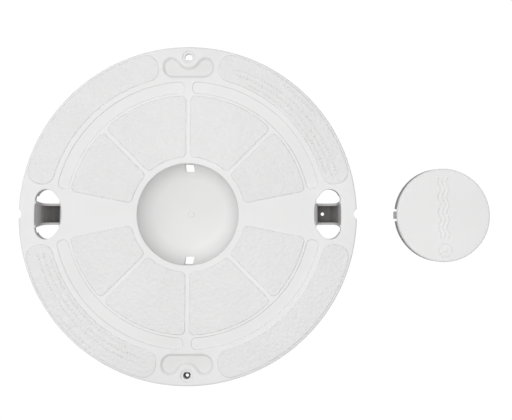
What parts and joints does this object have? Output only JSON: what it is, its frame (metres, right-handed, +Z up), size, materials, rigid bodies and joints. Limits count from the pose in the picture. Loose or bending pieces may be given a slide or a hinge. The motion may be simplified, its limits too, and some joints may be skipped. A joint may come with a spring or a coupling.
{
  "type": "skimmer lid",
  "caption": "Round moulded deck lid for a pool skimmer, with a deep centre bowl, lift pockets and screw holes, and its separate snap-in centre cap",
  "frame": {"origin": "on the lid's axis, at the flat pad under its centre bowl, where the lid stands on a bench", "axes": "+Z up out of the lid's top face, +X through the lift pocket nearest the cap, +Y through the rear screw hole"},
  "size_m": [0.3594, 0.2524, 0.035],
  "materials": {
    "lid_plastic": "off-white moulded plastic, fine stipple on the raised panels",
    "cap_plastic": "smooth off-white moulded plastic",
    "rubber": "black rubber"
  },
  "bodies": {
    "lid": {"lid": "lid_plastic", "screw_retainer": "rubber"},
    "cap": {"cap": "cap_plastic"},
    "tab_left": {"snap_tab_left": "cap_plastic"},
    "tab_right": {"snap_tab_right": "cap_plastic"}
  },
  "joints": [
    {"name": "cap_lift", "type": "slide", "parent": "lid", "child": "cap", "axis": [0, 0, 1], "range_m": [0, 0.06]},
    {"name": "tab_left_flex", "type": "hinge", "parent": "cap", "child": "tab_left", "pos_m": [0.1613, -0.0008, 0.0074], "axis": [0, -1, 0], "range_deg": [0, 10], "stiffness_Nm_per_rad": 0.6},
    {"name": "tab_right_flex", "type": "hinge", "parent": "cap", "child": "tab_right", "pos_m": [0.2307, -0.0008, 0.0074], "axis": [0, 1, 0], "range_deg": [0, 10], "stiffness_Nm_per_rad": 0.6}
  ]
}
